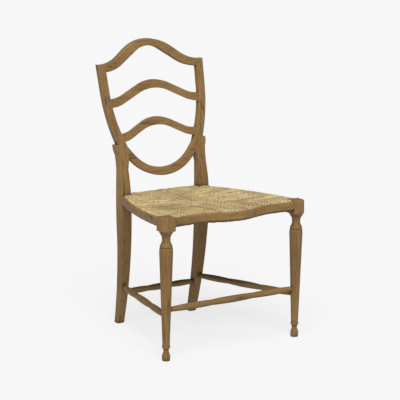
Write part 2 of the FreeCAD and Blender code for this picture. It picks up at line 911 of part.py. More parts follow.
def back_rail():
    reach = "(post_seat_inner+rail_tenon)"
    outline = [
        (f"-{reach}", BACK_RAIL_FRONT),
        (reach, BACK_RAIL_FRONT),
        (reach, BACK_RAIL_REAR),
        (f"-{reach}", BACK_RAIL_REAR),
    ]
    return plan_piece("back_rail_blank", outline, RAIL_FOOT, "rail_height")


def seat_slot(body, name, size, x, y, z, y_origin):
    world_y, world_z = on_slope(y, z)
    slot(body, name, size, x, f"({y_origin}+{world_y})", world_z, "-seat_slope")


def side_mortise_x(y, side):
    """Left edge of a mortise for a side rail, in the middle of the rail's width."""
    middle = side_line("side_strip_thickness+rush_beside_rail+side_rail_width/2", y)
    return f"({side}*{middle}-side_tenon_thickness/2)"


def leg_mortises(body, side):
    """Blind mortises for the front rail and the side rail."""
    size = ("rail_tenon", "rail_tenon_thickness", "rail_tenon_height")
    y = f"({CORNER_Y}+strip_thickness+rush_beside_rail+front_tenon_inset)"
    x = "(-block_width/2)" if side > 0 else "(block_width/2-rail_tenon)"
    seat_slot(body, "FrontRailMortise", size, x, y, TENON_FOOT, "0")
    size = ("side_tenon_thickness", "rail_tenon", "rail_tenon_height")
    x = f"({side_mortise_x('block_width/2', side)}-({side}*{LEG_X}))"
    seat_slot(body, "SideRailMortise", size, x, "(block_width/2-rail_tenon)", TENON_FOOT, "0")


def seat_mortises(body, side):
    """Blind mortises in a post for the side rail and the back rail."""
    long = "(rail_tenon+over_cut)"
    size = ("side_tenon_thickness", long, "rail_tenon_height")
    x = side_mortise_x(POST_FACE, side)
    seat_slot(body, "SideRailMortise", size, x, f"({POST_FACE}-over_cut)", TENON_FOOT, LEG_Y)
    size = (long, "rail_tenon_thickness", "rail_tenon_height")
    x = "(post_seat_inner-over_cut)" if side > 0 else "(-post_seat_inner-rail_tenon)"
    y = f"({BACK_RAIL_REAR}-rail_tenon_thickness-back_tenon_inset)"
    seat_slot(body, "BackRailMortise", size, x, y, TENON_FOOT, LEG_Y)


RUSH_TOP = "(strip_height+rush_rise)"
RUSH_FOOT = f"({RAIL_FOOT}-rush_over_rail)"
RUSH_REAR = f"({BACK_RAIL_REAR}+rush_behind_rail)"


def rush_seat():
    """The woven seat, wrapped over the rails and sunk a little in the middle."""
    front = serpentine("strip_thickness", BLOCK_INNER)
    lay = "side_strip_thickness"
    outline = front + [
        (side_line(lay, "0"), front[-1][1]),
        (side_line(lay, "block_width/2-glue_gap"), "(block_width/2-glue_gap)", "-side_strip_bow"),
        (side_line(lay, f"({POST_FACE}+2*glue_gap)"), f"({POST_FACE}+2*glue_gap)"),
        ("(post_seat_inner+rail_tenon)", RUSH_REAR),
        ("(-post_seat_inner-rail_tenon)", RUSH_REAR),
        (f"-{side_line(lay, f'({POST_FACE}+2*glue_gap)')}", f"({POST_FACE}+2*glue_gap)", "-side_strip_bow"),
        (f"-{side_line(lay, 'block_width/2-glue_gap')}", "(block_width/2-glue_gap)"),
        (f"-{side_line(lay, '0')}", front[0][1]),
    ]
    height = f"({RUSH_TOP}-{RUSH_FOOT})"
    body = plan_piece("rush_seat_blank", outline, RUSH_FOOT, height)
    soften(body, "rush_round", local_edges(value(RUSH_TOP), 60), "RoundedTop")
    soften(body, "rush_round", local_edges(value(RUSH_FOOT), 60), "RoundedFoot")
    seat_hollow(body)
    return body


def stuffing_outline(gap):
    front = f"(block_width/2+{gap})"
    rear = f"({BACK_RAIL_FRONT}-{gap})"
    inset = f"(side_strip_thickness+rush_beside_rail+side_rail_width+{gap})"
    return [
        (f"-{side_line(inset, front)}", front),
        (side_line(inset, front), front),
        (side_line(inset, rear), rear),
        (f"-{side_line(inset, rear)}", rear),
    ]


def seat_hollow(body):
    """The shallow sink of the woven top, between its four panels."""
    before = body.Shape.Volume
    low = new_sketch(body, "HollowFloor", "XY_Plane")
    bind(low, "AttachmentOffset", f"placement(vector(0;0;{RUSH_TOP}-rush_hollow); rotation(vector(1;0;0); 0))")
    draw(low, stuffing_outline("rush_hollow_run"))
    high = new_sketch(body, "HollowRim", "XY_Plane")
    bind(high, "AttachmentOffset", f"placement(vector(0;0;{RUSH_TOP}); rotation(vector(1;0;0); 0))")
    draw(high, stuffing_outline("0"))
    hollow = body.newObject("PartDesign::SubtractiveLoft", f"{body.Name}_Hollow")
    hollow.Profile = high
    hollow.Sections = [low]
    hollow.Ruled = True
    document.recompute()
    if not body.Shape.Volume < before:
        raise RuntimeError("the seat's hollow cut nothing")


def seat_stuffing():
    foot = RAIL_FOOT
    height = f"({RUSH_TOP}-rush_hollow-rush_over_rail-{RAIL_FOOT})"
    body = plan_piece("seat_stuffing", stuffing_outline("stuffing_gap"), foot, height)
    return body


# Stretchers: one turned form at four lengths
def stretcher(label, start, end):
    """A turned stretcher from one point to another, both on the legs' axes."""
    body = new_body(label)
    run = [f"(({b})-({a}))" for a, b in zip(start, end)]
    length = f"sqrt(pow({run[0]};2)+pow({run[1]};2)+pow({run[2]};2))"
    place(body, *start, f"(-{run[1]});{run[0]};0", f"acos({run[2]}/{length})")
    pin = "stretcher_pin_diameter/2"
    waist = f"({length}*stretcher_waist_share)"
    first = [
        ("0", "stretcher_pin_start"),
        (pin, "stretcher_pin_start"),
        (pin, "stretcher_pin_end"),
        ("stretcher_neck_diameter/2", "stretcher_pin_end", "-stretcher_end_swell"),
        ("stretcher_waist_diameter/2", waist, "-stretcher_middle_swell"),
    ]
    corners = list(first)
    for i in range(len(first) - 1, -1, -1):
        bulge = first[i - 1][2:] if i > 0 else ()
        corners.append((first[i][0], f"({length}-({first[i][1]}))") + tuple(bulge))
    turn(body, corners)
    return body


def stretcher_hole(body, name, start, end, origin=("0", "0", "0")):
    """A hole for a stretcher's end, along its own line."""
    run = [f"(({b})-({a}))" for a, b in zip(start, end)]
    length = f"sqrt(pow({run[0]};2)+pow({run[1]};2)+pow({run[2]};2))"
    before = body.Shape.Volume
    feature = body.newObject("PartDesign::SubtractiveCylinder", f"{body.Name}_{name}")
    bind(feature, "Radius", "stretcher_pin_diameter/2+pin_clearance")
    bind(feature, "Height", "stretcher_hole_length")
    from_start = "(stretcher_pin_start-glue_gap)"
    spot = [f"({a}-({o})+{r}/{length}*{from_start})" for a, o, r in zip(start, origin, run)]
    place(feature, *spot, f"(-{run[1]});{run[0]};0", f"acos({run[2]}/{length})")
    document.recompute()
    if not body.Shape.Volume < before:
        raise RuntimeError(f"{body.Label}: {name} cut nothing")


def arc_offset(kick, level, z):
    """How far an upright-ending arc has swung out at height z."""
    radius = f"((pow({level};2)+pow({kick};2))/(2*({kick})))"
    return f"({radius}-sqrt(pow({radius};2)-pow({level}-({z});2)))"


def post_middle_y(z):
    """Y of the middle of a post's depth, below the seat."""
    front = arc_offset("rear_kick", "post_level_height", z)
    rear = arc_offset("(rear_kick+post_foot_depth-post_depth)", "post_rear_level_height", z)
    return f"({POST_Y}+({front}+{rear}+post_depth)/2)"


def leg_point(side, height):
    return (f"{side}*{LEG_X}", LEG_Y, height)


def post_point(side, height):
    return (f"{side}*stretcher_post_half", post_middle_y(height), height)


def leg_stretcher_holes(body, side):
    origin = (f"{side}*{LEG_X}", LEG_Y, "0")
    here = leg_point(side, "front_stretcher_height")
    there = leg_point(-side, "front_stretcher_height")
    stretcher_hole(body, "FrontStretcherHole", here, there, origin)
    here = leg_point(side, "side_stretcher_front_height")
    there = post_point(side, "side_stretcher_rear_height")
    stretcher_hole(body, "SideStretcherHole", here, there, origin)


def side_stretcher_hole(body, side):
    here = post_point(side, "side_stretcher_rear_height")
    there = leg_point(side, "side_stretcher_front_height")
    stretcher_hole(body, "SideStretcherHole", here, there)


def rear_stretcher_hole(body, side):
    here = post_point(side, "rear_stretcher_height")
    there = post_point(-side, "rear_stretcher_height")
    stretcher_hole(body, "RearStretcherHole", here, there)


# Assemble
posts = [back_post(name, side) for name, side in SIDES]
legs = [front_leg(name, side) for name, side in SIDES]
pieces = posts + legs
pieces.append(crest_rail())
for row in SLATS:
    pieces.append(fitted(row, slat(row), posts))
pieces.append(fitted("shield_bow", shield_bow(), posts))
for name, side in SIDES:
    pin = dowel(f"bow_dowel_{name}", side, "horn_inner", "bow_dowel_length", BOW_DOWEL_Y, "bow_dowel_height")
    pieces.append(pin)
    pin = dowel(
        f"crest_dowel_{name}", side, CREST_DOWEL_X, "crest_dowel_length", CREST_DOWEL_Y, CREST_DOWEL_Z
    )
    pieces.append(pin)
pieces.append(front_strip())
rails = [fitted("front_rail", front_rail(), legs), fitted("back_rail", back_rail(), posts)]
for index, (name, side) in enumerate(SIDES):
    ends = [legs[index], posts[index]]
    butts = [leg_block(name, side), posts[index]]
    pieces.append(fitted(f"side_edge_strip_{name}", side_strip(name, side), butts))
    rails.append(fitted(f"side_rail_{name}", side_rail(name, side), ends))
stuffing = seat_stuffing()
pieces += rails
pieces.append(stuffing)
pieces.append(fitted("rush_seat", rush_seat(), legs + posts + rails + [stuffing]))
pieces.append(
    stretcher(
        "front_stretcher",
        leg_point(-1, "front_stretcher_height"),
        leg_point(1, "front_stretcher_height"),
    )
)
pieces.append(
    stretcher(
        "rear_stretcher",
        post_point(-1, "rear_stretcher_height"),
        post_point(1, "rear_stretcher_height"),
    )
)
for name, side in SIDES:
    pieces.append(
        stretcher(
            f"side_stretcher_{name}",
            leg_point(side, "side_stretcher_front_height"),
            post_point(side, "side_stretcher_rear_height"),
        )
    )

# Check every piece, then write it
document.recompute()
for item in document.Objects:
    if "Invalid" in item.State or "Error" in item.State:
        raise RuntimeError(f"{item.Label} failed: {item.State}")
for piece in pieces:
    if piece.Shape.isNull() or not piece.Shape.isValid():
        raise RuntimeError(f"{piece.Label} has no valid shape")
os.makedirs("parts", exist_ok=True)
for piece in pieces:
    piece.Shape.exportStep(f"parts/{piece.Label}.step")
    box = piece.Shape.BoundBox
    print(
        f"{piece.Label:22s} x {box.XMin:8.2f} {box.XMax:8.2f}  y {box.YMin:8.2f} {box.YMax:8.2f}"
        f"  z {box.ZMin:8.2f} {box.ZMax:8.2f}  {piece.Shape.Volume / 1000:9.1f} cm3"
    )
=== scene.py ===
import math
import random

import bpy
import numpy as np
from mathutils import Matrix, Vector


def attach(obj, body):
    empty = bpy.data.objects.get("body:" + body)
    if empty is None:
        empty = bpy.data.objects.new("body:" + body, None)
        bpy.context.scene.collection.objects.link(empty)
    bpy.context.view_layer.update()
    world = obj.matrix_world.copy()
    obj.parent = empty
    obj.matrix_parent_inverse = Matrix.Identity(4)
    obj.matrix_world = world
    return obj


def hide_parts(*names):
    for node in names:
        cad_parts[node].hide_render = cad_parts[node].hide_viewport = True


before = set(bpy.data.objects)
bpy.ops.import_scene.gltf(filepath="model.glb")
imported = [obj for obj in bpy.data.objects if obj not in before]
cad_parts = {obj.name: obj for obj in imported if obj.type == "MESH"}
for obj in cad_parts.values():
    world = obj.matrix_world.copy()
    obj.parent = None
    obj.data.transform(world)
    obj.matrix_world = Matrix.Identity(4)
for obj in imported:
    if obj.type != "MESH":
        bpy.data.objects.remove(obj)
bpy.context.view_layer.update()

# %% [markdown]
# This chair has a shield-shaped back, turned legs and a hand-woven rush seat.
# The wooden pieces are already cut to shape, so they only need their finish.
# The seat is different: its plain block is swapped for cords that are laid one
# by one, the way a seat weaver lays them.

# %% What came in
MM = 0.001
print("pieces of the frame:", len(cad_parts))


# %% [markdown]
# Colours are written as the hex values that a paint chart gives. Light adds up
# in linear numbers, so one function turns the first into the second. Another
# adds a node to a material, so each material below reads as a list of steps.

# %% Colours
def linear(hex_colour):
    """An sRGB hex colour as linear red, green, blue and alpha."""
    parts = [int(hex_colour[i : i + 2], 16) / 255 for i in (1, 3, 5)]
    return [c / 12.92 if c <= 0.04045 else ((c + 0.055) / 1.055) ** 2.4 for c in parts] + [1.0]


def add(tree, kind, inputs=(), out=0, stops=(), **settings):
    """Adds one shader node and gives back one of its outputs, if it has any.

    An input takes a value or the output of another node, under its name or number.
    Stops are the places and colours of a colour ramp, in order of place.
    """
    node = tree.nodes.new("ShaderNode" + kind)
    for name, setting in settings.items():
        setattr(node, name, setting)
    for name, source in dict(inputs).items():
        if isinstance(source, bpy.types.NodeSocket):
            tree.links.new(source, node.inputs[name])
        else:
            node.inputs[name].default_value = source
    for i, (place, colour) in enumerate(stops):
        if i > 1:
            node.color_ramp.elements.new(place)
        node.color_ramp.elements[i].position = place
        node.color_ramp.elements[i].color = colour
    return node.outputs[out] if node.outputs else None


def between(value, low, high, at_low, at_high):
    """Inputs of a MapRange node that turns low to high into at_low to at_high."""
    return {"Value": value, 1: low, 2: high, 3: at_low, 4: at_high}


def blend(share, first, second):
    """Inputs of a Mix node that goes from the first colour to the second."""
    return {0: share, 6: first, 7: second}


# A Mix node mixes colours with these settings, and its third output is the colour.
COLOUR_MIX = {"out": 2, "data_type": "RGBA"}
# Noise seldom leaves this range.
NOISE = (0.3, 0.7)


def new_material(name):
    """An empty material and its node tree."""
    material = bpy.data.materials.new(name)
    material.use_nodes = True
    material.node_tree.nodes.clear()
    return material, material.node_tree


print("mid grey #808080 is", round(linear("#808080")[0], 3), "in linear light")

# %% [markdown]
# The camera stands to the left of the chair's front and a little above the
# seat, with a long lens, so upright lines stay nearly parallel. It leans by a
# third of a degree, as a hand-set camera does.

# %% Camera
CAMERA_PLACE = Vector((-3.0178, -4.5398, 1.5634))
CAMERA_TURN = math.radians(-33.9428)
CAMERA_RISE = math.radians(11.4437)
CAMERA_ROLL = math.radians(0.2877)
LENS_MM = 147.34
SENSOR_MM = 36
CAMERA_SEES = 200

back = Vector(
    (
        math.sin(CAMERA_TURN) * math.cos(CAMERA_RISE),
        -math.cos(CAMERA_TURN) * math.cos(CAMERA_RISE),
        math.sin(CAMERA_RISE),
    )
)
level_right = (-back).cross(Vector((0, 0, 1))).normalized()
level_up = level_right.cross(-back)
right = math.cos(CAMERA_ROLL) * level_right + math.sin(CAMERA_ROLL) * level_up
up = math.cos(CAMERA_ROLL) * level_up - math.sin(CAMERA_ROLL) * level_right

camera_data = bpy.data.cameras.new("camera")
camera_data.lens = LENS_MM
camera_data.sensor_width = SENSOR_MM
camera_data.clip_end = CAMERA_SEES
camera = bpy.data.objects.new("camera", camera_data)
camera_axes = Matrix((right, up, back)).transposed().to_4x4()
camera.matrix_world = Matrix.Translation(CAMERA_PLACE) @ camera_axes
bpy.context.scene.collection.objects.link(camera)
bpy.context.scene.camera = camera
bpy.context.scene.view_settings.view_transform = "Standard"

# %% [markdown]
# A pale studio floor runs back so far that it is also the backdrop. One large
# lamp, high on the left in front, gives most of the light, so the fronts of the
# pieces are lighter than their sides. A weak sky fills in the dark sides. The
# floor is milk glass with lamps below it, which makes the shadow on it faint.

# %% Floor and light
FLOOR_HALF = 60
FLOOR_GREY = "#6C6C6C"
FLOOR_GLOW = 0.772
floor_mesh = bpy.data.meshes.new("floor")
floor_mesh.from_pydata(
    [(x * FLOOR_HALF, y * FLOOR_HALF, 0) for x, y in ((-1, -1), (1, -1), (1, 1), (-1, 1))],
    [],
    [(0, 1, 2, 3)],
)
floor = bpy.data.objects.new("floor", floor_mesh)
bpy.context.scene.collection.objects.link(floor)
material, tree = new_material("studio floor")
surface = add(
    tree,
    "BsdfPrincipled",
    {
        "Base Color": linear(FLOOR_GREY),
        "Roughness": 1.0,
        "Specular IOR Level": 0.0,
        "Emission Color": linear("#FFFFFF"),
        "Emission Strength": FLOOR_GLOW,
    },
)
add(tree, "OutputMaterial", {"Surface": surface})
floor_mesh.materials.append(material)

SKY_STRENGTH = 0.25
LAMP_STRENGTH = 3.1
LAMP_WIDTH = math.radians(40)
LAMP_FROM = Vector((-0.66, -0.97, 1.66))

world = bpy.data.worlds.new("sky")
world.use_nodes = True
bpy.context.scene.world = world
background = world.node_tree.nodes["Background"]
background.inputs["Color"].default_value = linear("#FFFFFF")
background.inputs["Strength"].default_value = SKY_STRENGTH

lamp_data = bpy.data.lights.new("window", "SUN")
lamp_data.energy = LAMP_STRENGTH
lamp_data.angle = LAMP_WIDTH
lamp = bpy.data.objects.new("window", lamp_data)
lamp.rotation_euler = LAMP_FROM.to_track_quat("Z", "Y").to_euler()
bpy.context.scene.collection.objects.link(lamp)
lamp_share = LAMP_STRENGTH * LAMP_FROM.normalized().z / math.pi
print("light on the floor:", round(SKY_STRENGTH + lamp_share, 2))

# %% [markdown]
# Weathered oak: long fibres, short dark pores, slow changes of tone where the
# stain took more or less, and a dull wax over it. Hands and sleeves rub the
# edges pale. Shade is painted dark into the corners, onto the faces that look
# down and onto all below the seat.
# The fibres run along each piece as it was sawn, so each has its own wood.

# %% Oak
OAK_DARK = "#573F1F"
OAK_SOFT = "#8D714A"
OAK_FIRM = "#8D6D42"
OAK_PORE = "#3A2813"
OAK_WORN = "#C9AC75"
OAK_PAINTED_SHADE = "#2E1F0B"
FIGURE_WIDTH = 6 * MM
FIGURE_LENGTH = 120 * MM
# Real pores are about 0.3 mm wide. They are drawn at 1 mm, the finest that shows.
PORE_WIDTH = 1.0 * MM
PORE_LENGTH = 22 * MM
FIBRE_WIDTH = 1.6 * MM
FIBRE_LENGTH = 66 * MM
STAIN_WIDTH = 70 * MM
STAIN_LENGTH = 140 * MM
EDGE_ROUND = 2.4 * MM
CORNER_SHADE_REACH = 18 * MM
GRAIN_DEPTH = 0.25 * MM
RING_LINE = 0.48
# The painted shade below the seat begins at the first height and is darkest from the second down.
SHADE_FROM, SHADE_TO = 0.48, 0.36


def oak(name, along, lean, shift):
    """Waxed oak whose fibres run along x, y or z, tipped back by lean degrees.

    A shift in metres gives each piece another part of the same pattern.
    """
    material, tree = new_material(name)
    place = add(tree, "TexCoord", out="Object")
    turns = {"x": (0, math.pi / 2, 0), "y": (math.pi / 2, 0, 0), "z": (math.radians(lean), 0, 0)}
    board = add(
        tree,
        "Mapping",
        {"Vector": place, "Rotation": turns[along], "Location": (shift, shift, shift)},
    )

    def streaks(width, length, detail, distortion=0.0):
        """Noise that is drawn out along the fibres."""
        scale = (1 / width, 1 / width, 1 / length)
        stretched = add(tree, "Mapping", {"Vector": board, "Scale": scale})
        return add(
            tree,
            "TexNoise",
            {"Vector": stretched, "Scale": 1.0, "Detail": detail, "Distortion": distortion},
        )

    figure = streaks(FIGURE_WIDTH, FIGURE_LENGTH, 4.0, 0.5)
    fibres = streaks(FIBRE_WIDTH, FIBRE_LENGTH, 2.0)
    pores = streaks(PORE_WIDTH, PORE_LENGTH, 1.0)
    stain = streaks(STAIN_WIDTH, STAIN_LENGTH, 2.0)

    # Each ring grows paler from its dark side and ends at a sharp line.
    wood = add(
        tree,
        "ValToRGB",
        {"Fac": figure},
        stops=((0.25, linear(OAK_DARK)), (RING_LINE, linear(OAK_SOFT)), (RING_LINE, linear(OAK_FIRM))),
    )
    fibre_tone = add(tree, "MapRange", between(fibres, *NOISE, 0.8, 1.16))
    stain_tone = add(tree, "MapRange", between(stain, *NOISE, 0.84, 1.12))
    both = add(tree, "Math", {0: fibre_tone, 1: stain_tone}, operation="MULTIPLY")
    toned = add(tree, "VectorMath", {0: wood, "Scale": both}, operation="SCALE")
    pore_share = add(tree, "MapRange", between(pores, 0.58, 0.76, 0.0, 0.65))
    pored = add(tree, "Mix", blend(pore_share, toned, linear(OAK_PORE)), **COLOUR_MIX)

    # Where the rounded normal differs from the flat one, there is an edge.
    rounded = add(tree, "Bevel", {"Radius": EDGE_ROUND}, samples=6)
    flat = add(tree, "NewGeometry", out="True Normal")
    same = add(tree, "VectorMath", {0: rounded, 1: flat}, out="Value", operation="DOT_PRODUCT")
    worn = add(tree, "MapRange", between(same, 0.99, 0.9, 0.0, 0.35))
    rubbed = add(tree, "Math", {0: worn, 1: figure}, operation="MULTIPLY")
    edged = add(tree, "Mix", blend(rubbed, pored, linear(OAK_WORN)), **COLOUR_MIX)
    # Painted shade: the wood is darker in the corners, where little of the sky reaches.
    open_sky = add(tree, "AmbientOcclusion", {"Distance": CORNER_SHADE_REACH}, out="AO", samples=6)
    painted_corner_shade = add(tree, "MapRange", between(open_sky, 0.3, 0.9, 0.85, 0.0))
    corner_shaded = add(tree, "Mix", blend(painted_corner_shade, edged, linear(OAK_PAINTED_SHADE)), **COLOUR_MIX)

    # Painted shade: the faces that look down are darker, the more so the more they face the floor.
    facing = add(tree, "SeparateXYZ", {0: flat}, out="Z")
    painted_downward_shade = add(tree, "MapRange", between(facing, -0.25, -0.9, 0.0, 0.75))
    downward_shaded = add(tree, "Mix", blend(painted_downward_shade, corner_shaded, linear(OAK_PAINTED_SHADE)), **COLOUR_MIX)
    # Painted shade: the wood grows darker below the seat.
    height = add(tree, "SeparateXYZ", {0: place}, out="Z")
    painted_shade_below_seat = add(tree, "MapRange", between(height, SHADE_FROM, SHADE_TO, 0.0, 0.28))
    finished = add(tree, "Mix", blend(painted_shade_below_seat, downward_shaded, linear(OAK_DARK)), **COLOUR_MIX)

    # Wax fills the fibres unevenly, so the sheen changes from one to the next.
    rough = add(tree, "MapRange", between(fibres, *NOISE, 0.5, 0.68))
    relief = add(tree, "Math", {0: fibres, 1: pore_share}, operation="SUBTRACT")
    normal = add(
        tree,
        "Bump",
        {"Height": relief, "Normal": rounded, "Strength": 0.35, "Distance": GRAIN_DEPTH},
    )
    shader = add(
        tree,
        "BsdfPrincipled",
        {
            "Base Color": finished,
            "Roughness": rough,
            "Specular IOR Level": 0.2,
            "Normal": normal,
        },
    )
    add(tree, "OutputMaterial", {"Surface": shader})
    return material


# Above the seat the posts lean back by 13 degrees. Their fibres take half of that.
POST_LEAN = 6.5
PATTERN_STEP = 0.37
GRAIN = {
    "back_post_left": ("z", POST_LEAN),
    "back_post_right": ("z", POST_LEAN),
    "crest_rail": ("x", 0),
    "upper_slat": ("x", 0),
    "lower_slat": ("x", 0),
    "shield_bow": ("x", 0),
    "front_leg_left": ("z", 0),
    "front_leg_right": ("z", 0),
    "front_stretcher": ("x", 0),
    "rear_stretcher": ("x", 0),
    "side_stretcher_left": ("y", 0),
    "side_stretcher_right": ("y", 0),
    "front_edge_strip": ("x", 0),
    "side_edge_strip_left": ("y", 0),
    "side_edge_strip_right": ("y", 0),
}
for number, (node, (along, lean)) in enumerate(GRAIN.items()):
    wood = oak("waxed oak, " + node.replace("_", " "), along, lean, number * PATTERN_STEP)
    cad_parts[node].material_slots[0].material = wood
print("oak pieces:", len(GRAIN))

# %% [markdown]
# The seat frame and the dowels are plain beech without a finish. The stuffing
# is packed straw. None of them shows, except through small gaps in the weave.

# %% Hidden wood and straw
BEECH = "#9A7D58"
STRAW = "#8F7B4C"
SPECKLES_PER_METRE = 220.0
for name, colour, nodes in (
    (
        "plain beech",
        BEECH,
        ["front_rail", "back_rail", "side_rail_left", "side_rail_right"]
        + [f"{kind}_dowel_{side}" for kind in ("crest", "bow") for side in ("left", "right")],
    ),
    ("packed straw", STRAW, ["seat_stuffing"]),
):
    material, tree = new_material(name)
    grain = add(tree, "TexNoise", {"Scale": SPECKLES_PER_METRE, "Detail": 3.0})
    tone = add(tree, "MapRange", {"Value": grain, 3: 0.8, 4: 1.15})
    colour_out = add(tree, "VectorMath", {0: linear(colour)[:3], "Scale": tone}, operation="SCALE")
    shader = add(tree, "BsdfPrincipled", {"Base Color": colour_out, "Roughness": 0.75})
    add(tree, "OutputMaterial", {"Surface": shader})
    for node in nodes:
        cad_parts[node].material_slots[0].material = material
print("hidden pieces have their wood and straw")

# %% [markdown]
# Rush is a marsh plant. Its long leaves are twisted by hand into one cord that
# is wound over the four rails without a break. The cords over each rail run
# square to it, so the top shows four triangles that meet on seams from the
# corners to one middle point. Each cord leaves its seam from below, goes out
# over the rail, down its outer side and back in underneath.

# %% The seat's own lines
SEAT_ORIGIN_Y = -0.25
SEAT_ORIGIN_Z = 0.447
SEAT_SLOPE = math.radians(1)
CORD_PITCH = 7.2 * MM
CORD_RADIUS = 3.65 * MM
SEAT_TOP = 29 * MM
SEAT_FOOT = -9 * MM
SEAT_SINK = 9 * MM
TURN_RADIUS = 9 * MM
# The seams run from the leg blocks and the posts to one middle point. All depths
# are measured from the middles of the front legs, square to the slope.
MIDDLE_Y = 212 * MM
BLOCK_X, BLOCK_Y = 237 * MM, 23 * MM
POST_X, POST_Y = 140 * MM, 404 * MM
REAR_Y = 441 * MM
# The front strip's face bulges by the crown in the middle and by the ebb at EBB_X.
FRONT_Y = -20 * MM
CROWN = 31 * MM
EBB = -5 * MM
EBB_X = 156 * MM
FRONT_STRIP = 10.5 * MM
# A side strip's face starts at SIDE_X, comes in by the taper and bows by the bow.
SIDE_X = 282 * MM
SIDE_TAPER = 101.5 * MM
SIDE_BOW = 17 * MM
SIDE_STRIP = 9.5 * MM
SIDE_MARGIN = 1 * MM
# Sitters have pressed one place of the seat deeper, to the left of its middle.
HOLLOW = (-150 * MM, 150 * MM)
HOLLOW_SIZE = 60 * MM
HOLLOW_DEPTH = 5 * MM


def front_edge(x):
    """Where the front cords turn down: the strip's double curve, behind its thickness."""
    x = abs(x)
    if x < EBB_X:
        bulge = (CROWN + EBB) / 2 + (CROWN - EBB) / 2 * math.cos(math.pi * x / EBB_X)
    else:
        bulge = EBB * math.cos(math.pi / 2 * (x - EBB_X) / (BLOCK_X - EBB_X)) ** 2
    return FRONT_Y - bulge + FRONT_STRIP


def side_edge(y):
    """How far out the side cords turn down: a straight slant with a slight bow."""
    t = (y - BLOCK_Y) / (POST_Y - BLOCK_Y)
    return SIDE_X - t * SIDE_TAPER + 4 * t * (1 - t) * SIDE_BOW - SIDE_STRIP


def front_seam(x):
    """How far back the front cords end."""
    return BLOCK_Y + (BLOCK_X - abs(x)) * (MIDDLE_Y - BLOCK_Y) / BLOCK_X


def rear_seam(x):
    """How far back the rear cords end."""
    return POST_Y - (POST_X - abs(x)) * (POST_Y - MIDDLE_Y) / POST_X


def side_seam(y):
    """How far the seam is from the middle line at this depth."""
    if y < MIDDLE_Y:
        return BLOCK_X * (MIDDLE_Y - y) / (MIDDLE_Y - BLOCK_Y)
    return POST_X * (y - MIDDLE_Y) / (POST_Y - MIDDLE_Y)


print("cords over the front rail:", round(2 * BLOCK_X / CORD_PITCH))
print("cords over each side rail:", round((POST_Y - BLOCK_Y) / CORD_PITCH))

# %% [markdown]
# A cord is a tube with two lobes that wind round it, which is how two twisted
# bundles of leaves look. Each one lies a little thicker, higher or more to one
# side than the next, because the weaver joins new leaves as they go.

# %% One cord
RING = 9
STEP = 2.6 * MM
TWIST_LENGTH = 20 * MM
LOBE = 0.2
TURN_STEPS = 4
# Each cord draws its own values between these, in mm or as a share of the usual one.
LIFT_MM = (-1.8, 0.6)
WANDER_MM = (0.2, 0.7)
OUT_OF_LINE_MM = (-0.3, 0.3)
THICKNESS = (0.94, 1.06)
TWIST = (0.75, 1.3)
# A cord dips a little where it dives under its neighbour at the seam.
SEAM_DIP = 1.2 * MM
SEAM_REACH = 2.5 * MM
WANDER_LENGTH = 26 * MM
chance = random.Random(7)
cord_points = []
cord_faces = []
cord_uvs = []


def section(edge_to_seam, lift, sink_at):
    """The cord's line in its own plane, as (distance in from the edge, height)."""
    top = SEAT_TOP - CORD_RADIUS + lift
    foot = SEAT_FOOT + CORD_RADIUS
    line = []
    run = max(edge_to_seam - TURN_RADIUS, STEP)
    count = max(int(run / STEP), 2)
    for i in range(count + 1):
        inward = TURN_RADIUS + run * (1 - i / count)
        to_seam = edge_to_seam - inward
        dip = SEAM_DIP * math.exp(-to_seam / SEAM_REACH)
        line.append((inward, top - sink_at(inward) - dip))
    turn_top = line[-1][1]
    quarter = [math.pi / 2 * i / TURN_STEPS for i in range(TURN_STEPS + 1)]
    for angle in quarter[1:]:
        inward = TURN_RADIUS * (1 - math.sin(angle))
        line.append((inward, turn_top - TURN_RADIUS * (1 - math.cos(angle))))
    for angle in quarter[:-1]:
        inward = TURN_RADIUS * (1 - math.cos(angle))
        line.append((inward, foot + TURN_RADIUS * (1 - math.sin(angle))))
    for i in range(count + 1):
        line.append((TURN_RADIUS + run * i / count, foot))
    return line


def to_row(x, y, z):
    """From the seat's own sloping frame to the chair's."""
    return (
        x,
        SEAT_ORIGIN_Y + y * math.cos(SEAT_SLOPE) + z * math.sin(SEAT_SLOPE),
        SEAT_ORIGIN_Z - y * math.sin(SEAT_SLOPE) + z * math.cos(SEAT_SLOPE),
    )


def lay(line, radius, start, twist_length):
    """Adds a twisted tube along the line of points to the weave."""
    path = np.array([to_row(*p) for p in line])
    ahead = np.gradient(path, axis=0)
    ahead /= np.linalg.norm(ahead, axis=1)[:, None]
    plane = np.cross(path[0] - path[-1], path[len(path) // 2] - path[0])
    plane /= np.linalg.norm(plane)
    side = np.repeat(plane[None, :], len(path), axis=0)
    upward = np.cross(side, ahead)
    steps = np.linalg.norm(np.diff(path, axis=0), axis=1)
    length = np.concatenate([[0], np.cumsum(steps)])
    first = len(cord_points) * RING
    angle = np.arange(RING) * 2 * math.pi / RING
    twist = 2 * math.pi * length / twist_length + start
    swell = 1 + LOBE * np.cos(2 * angle[None, :] + twist[:, None])
    lobes = [2 * j / RING + twist / (2 * math.pi) for j in range(RING + 1)]
    wide = radius * swell
    rings = (
        path[:, None, :]
        + side[:, None, :] * (wide * np.cos(angle))[:, :, None]
        + upward[:, None, :] * (wide * np.sin(angle))[:, :, None]
    )
    cord_points.extend(rings)
    for i in range(len(path) - 1):
        for j in range(RING):
            k = (j + 1) % RING
            a = first + i * RING
            cord_faces.append((a + j, a + k, a + RING + k, a + RING + j))
            for at, turn in ((i, j), (i, j + 1), (i + 1, j + 1), (i + 1, j)):
                cord_uvs.append((length[at], lobes[turn][at]))
    last = first + (len(path) - 1) * RING
    for base, order in ((first, range(RING - 1, -1, -1)), (last, range(RING))):
        cord_faces.append(tuple(base + j for j in order))
        cord_uvs.extend([(0.0, 0.0)] * RING)


